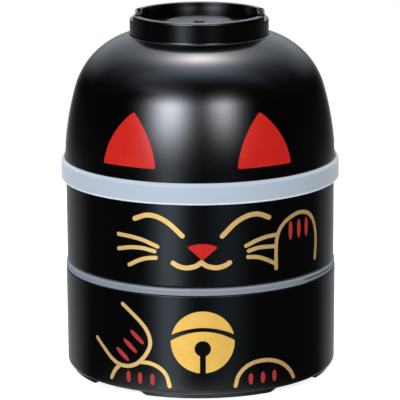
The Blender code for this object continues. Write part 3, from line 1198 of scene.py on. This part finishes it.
def round_end(before: Vector, tip: Vector, width: float) -> Outline:
    """Half circle that closes a stroke at its tip, without the points of its two sides."""
    heading = math.degrees(math.atan2(tip.y - before.y, tip.x - before.x))
    return arc((tip.x, tip.y), width / 2, heading + 90.0, heading - 90.0, TIP_STEPS)[1:-1]


def leaf(start: Point, end: Point, width: float) -> Outline:
    """Outline of a stroke that is widest in its middle and narrows to round ends.

    Args:
        start: One end of its middle line.
        end: The other end.
        width: Greatest width.

    Returns:
        Closed outline, once round.
    """
    first, last = Vector(start), Vector(end)
    along = last - first
    across = Vector((-along.y, along.x)).normalized() * (width / 2)
    sides: tuple[Outline, Outline] = ([], [])
    for step in range(1, LEAF_STEPS):
        turn = math.pi * step / LEAF_STEPS
        share = (1.0 - math.cos(turn)) / 2
        for side, sign in zip(sides, (1.0, -1.0)):
            place = first + along * share + across * (sign * math.sin(turn) ** LEAF_FULLNESS)
            side.append((place.x, place.y))
    return [start, *sides[0], end, *sides[1][::-1]]


def rounded(outline: Outline, corners: tuple[int, ...]) -> Outline:
    """A closed outline with some of its corners drawn as the round tips of a brush.

    Args:
        outline: Closed outline with close points.
        corners: Places of the corners in it.

    Returns:
        The outline, with each corner bent between its two neighbours.
    """
    points: Outline = []
    for index, here in enumerate(outline):
        if index in corners:
            before, after = outline[index - 1], outline[(index + 1) % len(outline)]
            points += smooth_corner(before, here, after, BRUSH_STEPS)[1:-1]
        else:
            points.append(here)
    return points


@dataclass
class PrintBed:
    """The outside of a turned piece, laid flat for printing.

    A place on it is (across, height): across is the length round the wall, to the right of the
    front, and height is measured from the table.
    """

    body: Body
    radius_at: Callable[[float], float]
    girth_radius: float = 54.0 * MM  # radius where lengths round the wall are measured
    turn: float = 0.0  # degrees that the piece is turned
    lift: float = 0.05 * MM  # ink above the wall
    sink: float = 0.04 * MM  # ink under the wall's surface
    grid: float = 1.5 * MM  # facets of the ink, so that it follows the wall

    def place(self, across: float, height: float, lift: float) -> Vector:
        """Point in space for a place on the bed.

        Args:
            across: Length round the wall.
            height: Height above the table.
            lift: Distance outside the wall.

        Returns:
            The point.
        """
        angle = across / self.girth_radius + math.radians(self.turn)
        radius = self.radius_at(height) + lift
        return Vector((radius * math.sin(angle), -radius * math.cos(angle), height))

    def lay(self, name: str, outline: Outline) -> bpy.types.Object:
        """Lays a patch of ink on the wall as a thin closed solid.

        Args:
            name: Name of the new object.
            outline: Closed outline on the bed.

        Returns:
            The new object.
        """
        bm = bmesh.new()
        bm.faces.new([bm.verts.new((across, height, 0.0)) for across, height in outline])
        bm.normal_update()
        bmesh.ops.triangulate(bm, faces=bm.faces[:])
        for axis, normal in enumerate((Vector((1.0, 0.0, 0.0)), Vector((0.0, 1.0, 0.0)))):
            reach = [corner[axis] / self.grid for corner in outline]
            for line in range(math.ceil(min(reach)), math.floor(max(reach)) + 1):
                geometry = bm.verts[:] + bm.edges[:] + bm.faces[:]
                cut = normal * (line * self.grid)
                bmesh.ops.bisect_plane(bm, geom=geometry, plane_co=cut, plane_no=normal)
        under = bm.verts[:]
        raised = bmesh.ops.extrude_face_region(bm, geom=bm.faces[:])
        over = [item for item in raised["geom"] if isinstance(item, bmesh.types.BMVert)]
        for corners, lift in ((under, -self.sink), (over, self.lift)):
            for corner in corners:
                corner.co = self.place(corner.co.x, corner.co.y, lift)
        return finish_mesh(name, bm, self.body)


@dataclass
class Print:
    """Strokes of ink on one piece of the stack, with places and widths in millimetres."""

    bed: PrintBed
    palette: Palette
    base: float = 0.0  # height, in metres, from which its heights are measured
    line: float = 1.95  # width of a brush line
    thin_line: float = 1.6
    pad: float = 1.9  # width of a red pad

    def raise_up(self, places: Outline) -> Outline:
        """Moves places to heights above the table."""
        return [(across, height + self.base / MM) for across, height in places]

    def patch(self, name: str, outline: Outline, ink: Ink) -> None:
        """Lays a patch of ink, whose outline is at heights above the table."""
        self.palette.dress(self.bed.lay(name, [(x * MM, y * MM) for x, y in outline]), ink)

    def stroke(self, name: str, stops: Outline, width: float) -> None:
        """Lays a brush line of gold ink, which is thinner there than in a full patch."""
        self.patch(name, ribbon(self.raise_up(stops), width), GOLD_LINE)

    def dab(self, name: str, start: Point, end: Point) -> None:
        """Lays a small dab of red ink, one pad of a paw."""
        self.patch(name, leaf(*self.raise_up([start, end]), self.pad), RED_DAB)


@dataclass
class EarPrint(Print):
    """Two red ears on the bowl, the sides of each a little full."""

    foot: float = 92.0  # height of the base line
    tip: float = 113.0
    near: float = 16.1  # across, from the middle to an ear's inner corner
    far: float = 39.95
    peak: float = 27.1
    fullness: Point = (2.4, 2.0)  # how far the outer and the inner side bulge
    steps: int = 24  # steps along a side

    def build(self) -> None:
        """Prints both ears."""
        for name, sign in (("ear_left", -1.0), ("ear_right", 1.0)):
            outer, inner = (sign * self.far, self.foot), (sign * self.near, self.foot)
            peak = (sign * self.peak, self.tip)
            outline = self.side(outer, peak, sign * self.fullness[0])
            outline += self.side(peak, inner, -sign * self.fullness[1])[1:]
            outline += self.side(inner, outer, 0.0)[1:-1]
            self.patch(name, rounded(outline, (0, self.steps, 2 * self.steps)), RED_INK)

    def side(self, start: Point, end: Point, bulge: float) -> Outline:
        """One full side of an ear, whose middle lies to the right by bulge."""
        middle = ((start[0] + end[0]) / 2 + 2 * bulge, (start[1] + end[1]) / 2 + abs(bulge))
        return smooth_corner(start, middle, end, self.steps)


@dataclass
class FacePrint(Print):
    """Closed eyes, whiskers, nose and mouth, and the raised paw beside them, on the upper box.

    Heights are measured from its base, near the lower edge of the box's wall.
    """

    def build(self) -> None:
        """Prints the face."""
        eyes = {
            "eye_left": [(-26.6, 26.3), (-21.6, 28.1), (-16.9, 27.7), (-12.1, 25.2), (-7.1, 20.6)],
            "eye_right": [(8.5, 20.4), (13.5, 25.2), (18.5, 27.8), (23.3, 28.1), (27.9, 26.3)],
        }
        whiskers = {
            "whisker_left_1": [(-34.3, 19.2), (-28.4, 18.9), (-23.0, 18.0), (-17.0, 15.9)],
            "whisker_left_2": [(-34.3, 13.4), (-28.5, 14.6), (-23.2, 14.8), (-18.2, 13.9)],
            "whisker_left_3": [(-29.3, 7.5), (-25.4, 9.6), (-21.6, 10.9), (-17.7, 11.4)],
            "whisker_right_1": [(18.0, 15.9), (22.0, 17.5), (26.4, 18.6), (31.0, 18.9)],
            "whisker_right_2": [(19.1, 13.8), (23.7, 14.7), (31.0, 14.4)],
            "whisker_right_3": [(18.8, 11.4), (23.1, 10.9), (27.0, 9.4), (31.0, 7.3)],
        }
        for strokes, width in ((eyes, self.line), (whiskers, self.thin_line)):
            for name, stops in strokes.items():
                self.stroke(name, stops, width)
        self.nose_and_mouth()
        self.raised_paw()

    def nose_and_mouth(self) -> None:
        """Prints the red nose and the two curves of the mouth under it."""
        nose = smooth_corner((-4.9, 16.3), (0.8, 18.7), (6.4, 16.2), 8)
        nose += smooth_corner((6.4, 15.7), (2.8, 12.6), (0.9, 11.0), 5)
        nose += smooth_corner((0.5, 11.0), (-1.4, 12.8), (-4.9, 15.8), 5)
        self.patch("nose", self.raise_up(nose), RED_INK)
        stops = [(-10.8, 9.7), (-8.6, 8.5), (-5.5, 7.9), (-2.0, 8.6), (0.3, 10.1)]
        mirrored = [(2 * stops[-1][0] - across, height) for across, height in stops[::-1]]
        self.stroke("mouth_left", stops, self.line)
        self.stroke("mouth_right", mirrored, self.line)

    def raised_paw(self) -> None:
        """Prints the outline of the raised paw and the three pads inside it."""
        stops = [(31.3, 5.4), (31.2, 11.5), (31.5, 16.6), (33.0, 20.8), (36.8, 24.2)]
        stops += [(42.8, 26.0), (48.4, 24.9), (52.0, 21.6), (53.9, 16.8), (54.3, 11.4)]
        self.stroke("raised_paw", [*stops, (53.7, 5.5)], self.thin_line)
        for number, across in enumerate((38.4, 43.0, 47.5), start=1):
            self.dab(f"raised_paw_pad_{number}", (across, 23.3), (across, 15.8))


@dataclass
class FrontPrint(Print):
    """Paws, feet and the bell on the lower box."""

    bell_centre: Point = (0.65, 23.5)
    bell_radius: float = 12.5
    bell_hole: Point = (0.65, 20.9)
    hole_radius: float = 3.2
    slit_width: float = 2.3
    cap_corner: float = 13.7  # degrees above the level where the cap's lower edge ends
    cap_pull: float = 5.9  # how strongly that edge is bent up
    body_corner: float = 2.2  # the same for the upper edge of the lower half
    body_pull: float = 7.7

    def build(self) -> None:
        """Prints the front of the lower box."""
        self.lowered_paw()
        self.feet()
        self.bell()

    def lowered_paw(self) -> None:
        """Prints the arm that ends in the lowered paw, and its pads."""
        stops = [(-32.3, 36.8), (-28.3, 33.9), (-23.9, 30.1), (-21.4, 26.8), (-20.3, 23.4)]
        stops += [(-20.7, 20.2), (-23.0, 16.4), (-26.3, 13.3), (-30.4, 11.8), (-34.8, 12.1)]
        stops += [(-38.6, 14.1), (-42.2, 17.2), (-46.2, 20.7)]
        self.stroke("lowered_paw", stops, self.thin_line)
        pads = [((-28.8, 26.6), (-23.0, 21.7)), ((-32.1, 22.7), (-26.1, 17.8))]
        pads.append(((-35.6, 18.6), (-29.7, 14.0)))
        for number, (start, end) in enumerate(pads, start=1):
            self.dab(f"lowered_paw_pad_{number}", start, end)

    def feet(self) -> None:
        """Prints the two feet and their toes."""
        outer = [(-34.0, 11.8), (-36.5, 9.2), (-38.5, 5.8)]
        inner = [(-24.4, 14.2), (-20.2, 14.1), (-16.2, 12.4), (-13.7, 9.6), (-12.5, 5.4)]
        right = [(13.5, 5.4), (14.7, 9.4), (17.6, 12.6), (21.9, 14.3), (27.0, 14.4)]
        right += [(31.7, 13.1), (35.5, 10.8), (38.2, 8.0), (39.8, 5.3)]
        strokes = {"left_foot_outer": outer, "left_foot_inner": inner, "right_foot": right}
        for name, stops in strokes.items():
            self.stroke(name, stops, self.thin_line)
        for side, middles in (("left", (-30.0, -24.8, -19.5)), ("right", (19.8, 25.0, 30.2))):
            for number, across in enumerate(middles, start=1):
                self.dab(f"{side}_foot_toe_{number}", (across, 9.9), (across, 5.3))

    def bell(self) -> None:
        """Prints the bell: a cap over a lower half with its hole and slit."""
        centre, radius, half = self.bell_centre, self.bell_radius, self.slit_width / 2
        cap = arc(centre, radius, self.cap_corner, 180.0 - self.cap_corner, 40)
        crest = (centre[0], cap[0][1] + self.cap_pull)
        self.patch("bell_cap", cap + smooth_corner(cap[-1], crest, cap[0], 16)[1:-1], GOLD_INK)
        gap = math.degrees(math.asin(half / self.hole_radius))
        slit = math.degrees(math.asin(half / radius))
        lower = arc(centre, radius, 180.0 - self.body_corner, 270.0 - slit, 24)
        lower += arc(self.bell_hole, self.hole_radius, 270.0 - gap, -90.0 + gap, 24)
        lower += arc(centre, radius, 270.0 + slit, 360.0 + self.body_corner, 24)
        crest = (centre[0], lower[-1][1] + self.body_pull)
        lower += smooth_corner(lower[-1], crest, lower[0], 16)[1:-1]
        self.patch("bell_body", lower, GOLD_INK)


# Studio


@dataclass(frozen=True)
class Softbox:
    """A soft light far away, brightest in its middle and fading to its sides."""

    azimuth: float  # degrees from the front towards the right
    elevation: float
    half_width: float  # degrees from the middle to where about a third of the light is left
    half_height: float
    strength: float
    colour: tuple[float, float, float]
    sharpness: float = 1.0  # above 1 it has a flat middle and firmer edges

    def axes(self) -> tuple[Vector, Vector, Vector]:
        """Directions to its right, to its top and to its middle, seen from the object.

        Returns:
            Three directions of length 1.
        """
        turn, rise = math.radians(self.azimuth), math.radians(self.elevation)
        across, up = math.cos(rise), math.sin(rise)
        middle = Vector((math.sin(turn) * across, -math.cos(turn) * across, up))
        right = Vector((math.cos(turn), math.sin(turn), 0.0))
        return right, right.cross(middle) * -1.0, middle


@dataclass
class Studio:
    """Surroundings: soft lights, a white background and a pale floor under the object."""

    softboxes: tuple[Softbox, ...]
    fill: float = 0.3  # even light from the front
    back_fill: float = 1.0  # even light from behind the object
    fill_ends: Point = (-0.3, 1.0)  # where the one turns into the other, towards the back
    fill_colour: tuple[float, float, float] = (0.94, 0.97, 1.0)
    lamp_share: float = 0.58  # how much of the lights' glare reaches matte surfaces
    dark_room: float = 0.004  # what gloss sees away from the lights
    dim_floor: float = 0.03  # what gloss sees of the floor away from the object
    horizon: Point = (-0.06, 0.06)  # heights between which floor and room meet
    floor_rings: tuple[float, ...] = (60.0 * MM, 120.0 * MM, 250.0 * MM, 440.0 * MM)
    floor_radius: float = 450.0 * MM
    floor_drop: float = 4.0 * MM  # how far its edge is rounded down
    floor_facets: int = 96
    floor_sink: float = 0.02 * MM  # how far it lies under the object
    floor_colour: Colour = (0.5, 0.5, 0.5, 1.0)
    floor_white: float = 0.8  # light of its own that the camera sees
    patch: float = 1.1  # brightness of the painted pool of light on the floor, which only gloss sees
    patch_colour: Colour = (0.95, 0.98, 1.0, 1.0)
    patch_middle: Point = (-12.0 * MM, -55.0 * MM)
    patch_reach: Point = (34.0 * MM, 16.0 * MM)

    def build(self) -> None:
        """Makes the world and the floor."""
        self.surroundings()
        self.floor()

    def glow_group(self) -> EffectGroup:
        """Mask of one softbox, from the ray's share along its three axes.

        Returns:
            The node group.
        """
        inputs = ("Right", "Up", "Middle", "Half Width", "Half Height", "Sharpness")
        group = EffectGroup("softbox_glow", inputs, ("Mask",))
        graph, source = group.graph, group.source
        shares = []
        for axis, reach in (("Right", "Half Width"), ("Up", "Half Height")):
            angle = graph.math("DEGREES", graph.math("ARCTAN2", source[axis], source["Middle"]))
            share = graph.math("DIVIDE", angle, source[reach])
            shares.append(graph.times(share, share))
        fall = graph.math("POWER", graph.math("ADD", *shares), source["Sharpness"])
        graph.plug(group.result["Mask"], graph.math("EXPONENT", graph.times(fall, -1.0)))
        return group

    def surroundings(self) -> None:
        """Makes the world from the softboxes."""
        world = bpy.data.worlds.new("studio")
        world.use_nodes = True
        bpy.context.scene.world = world
        graph, glow = Graph(world.node_tree), self.glow_group()
        ray = graph.add("ShaderNodeTexCoord").outputs["Generated"]
        paths = graph.add("ShaderNodeLightPath").outputs
        gloss, height = paths["Is Glossy Ray"], graph.add("ShaderNodeSeparateXYZ", ray).outputs
        room = graph.ramp(height["Z"], self.horizon, self.dim_floor, self.dark_room)
        around = graph.ramp(height["Y"], self.fill_ends, self.fill, self.back_fill)
        even = graph.ramp(gloss, (0.0, 1.0), around, room, kind="LINEAR")
        lamps = graph.ramp(gloss, (0.0, 1.0), self.lamp_share, 1.0, kind="LINEAR")
        total = graph.vector("SCALE", self.fill_colour, Scale=even)
        for box in self.softboxes:
            right, up, middle = [
                graph.vector("DOT_PRODUCT", ray, axis).outputs["Value"] for axis in box.axes()
            ]
            mask = glow.place(
                graph, Right=right, Up=up, Middle=middle, Half_Width=box.half_width,
                Half_Height=box.half_height, Sharpness=box.sharpness,
            )
            level = graph.times(graph.times(mask, box.strength), lamps)
            total = graph.vector("ADD", total, graph.vector("SCALE", box.colour, Scale=level))
        shown = graph.math("MAXIMUM", paths["Is Camera Ray"], paths["Is Transmission Ray"])
        seen = graph.mix_colour(shown, total, WHITE)
        graph.add("ShaderNodeOutputWorld", graph.add("ShaderNodeBackground", seen, 1.0))

    def floor(self) -> None:
        """Makes the round floor, a shallow disc whose edge is rounded down."""
        bm = bmesh.new()
        reaches = [(reach, 0.0) for reach in self.floor_rings]
        rows = []
        for reach, height in [*reaches, (self.floor_radius, -self.floor_drop)]:
            ring = arc((0.0, 0.0), reach, 0.0, 360.0, self.floor_facets)[:-1]
            rows.append([bm.verts.new((x, y, height)) for x, y in ring])
        bm.faces.new(rows[0])
        join_rows(bm, rows, around=True)
        floor = link_mesh("floor", bm)
        floor.location.z = -self.floor_sink
        floor.data.materials.append(self.floor_material())

    def floor_material(self) -> bpy.types.Material:
        """Pale floor: white to the camera apart from the shadow, and a painted pool of light that
        only gloss sees.

        Returns:
            A new material.
        """
        material = new_material("floor", self.floor_colour)
        graph = Graph(material.node_tree)
        paths = graph.add("ShaderNodeLightPath").outputs
        place = graph.add("ShaderNodeTexCoord").outputs["Object"]
        sides = graph.add("ShaderNodeSeparateXYZ", place).outputs
        fall: object = 0.0
        for socket, middle, reach in zip(sides, self.patch_middle, self.patch_reach):
            share = graph.math("DIVIDE", graph.math("SUBTRACT", socket, middle), reach)
            fall = graph.math("ADD", fall, graph.times(share, share))
        # painted pool of light, glowing on the floor in front of the object
        glow = graph.times(graph.math("EXPONENT", graph.times(fall, -1.0)), self.patch)
        matte = graph.add("ShaderNodeBsdfDiffuse", self.floor_colour)
        white = graph.add("ShaderNodeEmission", WHITE, self.floor_white)
        seen = graph.add("ShaderNodeAddShader", matte, white)
        patch = graph.add("ShaderNodeEmission", self.patch_colour, glow)
        clear = graph.add("ShaderNodeBsdfTransparent")
        gloss = graph.add("ShaderNodeAddShader", patch, clear)
        first = graph.add("ShaderNodeMixShader", paths["Is Camera Ray"], matte, seen)
        last = graph.add("ShaderNodeMixShader", paths["Is Glossy Ray"], first, gloss)
        graph.add("ShaderNodeOutputMaterial", last)
        material.cycles.emission_sampling = "NONE"
        return material


@dataclass(frozen=True)
class Viewpoint:
    """The camera, set as the photograph was taken: far off and a little above."""

    distance: float = 1200.0 * MM
    elevation: float = 13.01
    aim: float = 67.9 * MM  # height that it looks at
    focal_length: float = 267.73  # in millimetres, on a sensor 36 mm wide
    sensor: float = 36.0
    lean: float = -0.344  # degrees that the camera is turned about its own axis
    shift: float = -0.00066
    nearest: float = 50.0 * MM  # what lies nearer or farther isn't shown
    farthest: float = 20000.0 * MM

    def build(self) -> None:
        """Makes the camera and uses it."""
        camera = bpy.data.cameras.new("camera")
        camera.lens = self.focal_length
        camera.sensor_width = self.sensor
        camera.shift_x = self.shift
        camera.clip_start = self.nearest
        camera.clip_end = self.farthest
        rise = math.radians(self.elevation)
        back = Vector((0.0, -math.cos(rise), math.sin(rise)))
        holder = bpy.data.objects.new("camera", camera)
        bpy.context.scene.collection.objects.link(holder)
        place = Matrix.Translation(Vector((0.0, 0.0, self.aim)) + back * self.distance)
        turn = (-back).to_track_quat("-Z", "Y").to_matrix().to_4x4()
        holder.matrix_world = place @ turn @ Matrix.Rotation(math.radians(self.lean), 4, "Z")
        bpy.context.scene.camera = holder


# The lights that show in the black lacquer, named by where they stand or show
LEFT_COLOUR = (0.94, 0.99, 1.09)
RIGHT_COLOUR = (0.97, 0.98, 1.04)
LEFT_BOX = Softbox(-28.0, 21.0, 15.0, 13.0, 20.0, LEFT_COLOUR)
RIGHT_BOX = Softbox(22.0, 23.0, 12.0, 11.0, 12.0, RIGHT_COLOUR)
LEFT_SHOULDER = Softbox(-50.0, 43.0, 15.0, 6.0, 0.9, LEFT_COLOUR)
LEFT_GLOW = Softbox(-55.0, 57.0, 26.0, 9.0, 0.4, LEFT_COLOUR)
RIGHT_SHOULDER = Softbox(30.0, 44.0, 12.0, 6.0, 0.2, RIGHT_COLOUR)
LEFT_ON_TABLE = Softbox(-27.0, -15.0, 12.0, 14.0, 1.4, (0.85, 1.03, 1.2))
RIGHT_ON_TABLE = Softbox(22.0, -16.0, 14.0, 6.0, 0.3, (0.87, 1.1, 1.3))
OVERHEAD = Softbox(180.0, 74.0, 12.0, 10.0, 16.0, (1.08, 1.01, 1.0), sharpness=0.8)
CEILING_BEHIND = Softbox(180.0, 65.0, 30.0, 18.0, 1.9, (0.85, 0.95, 1.1))
CEILING_ABOVE = Softbox(180.0, 95.0, 30.0, 14.0, 2.3, (0.8, 0.95, 1.2))
BACK_WALL = Softbox(180.0, 35.0, 45.0, 32.0, 0.5, (0.9, 0.98, 1.09), sharpness=4.0)
BACK_WINDOW = Softbox(180.0, 30.0, 30.0, 45.0, 0.3, (0.94, 0.99, 1.06), sharpness=2.5)
BACK_TABLE = Softbox(184.0, -23.0, 50.0, 15.0, 0.4, (0.96, 1.0, 1.06), sharpness=2.0)
LIGHTS = (
    LEFT_BOX, RIGHT_BOX, LEFT_SHOULDER, LEFT_GLOW, RIGHT_SHOULDER, LEFT_ON_TABLE,
    RIGHT_ON_TABLE, OVERHEAD, CEILING_BEHIND, CEILING_ABOVE, BACK_WALL, BACK_WINDOW, BACK_TABLE,
)


def main() -> None:
    """Builds and dresses the stack, then sets up the studio."""
    logging.basicConfig(level=logging.INFO, format="%(name)s: %(message)s")
    bpy.context.scene.view_settings.view_transform = "Standard"
    palette = Palette()
    lower_box = LowerBox(Body.LOWER_BOX)
    upper_box = UpperBox(Body.UPPER_BOX)
    bowl = SoupBowl(Body.BOWL)
    for part in (
        lower_box, LowerLid(Body.LOWER_LID), upper_box, Divider(Body.DIVIDER),
        UpperLid(Body.UPPER_LID), bowl,
    ):
        part.build(palette)
    EarPrint(PrintBed(Body.BOWL, bowl.outer_radius, turn=bowl.turn), palette).build()
    upper_wall = upper_box.low + upper_box.print_base
    FacePrint(PrintBed(Body.UPPER_BOX, upper_box.outer_radius), palette, upper_wall).build()
    FrontPrint(PrintBed(Body.LOWER_BOX, lower_box.outer_radius), palette).build()
    Studio(LIGHTS).build()
    Viewpoint().build()


if __name__ == "__main__":
    main()
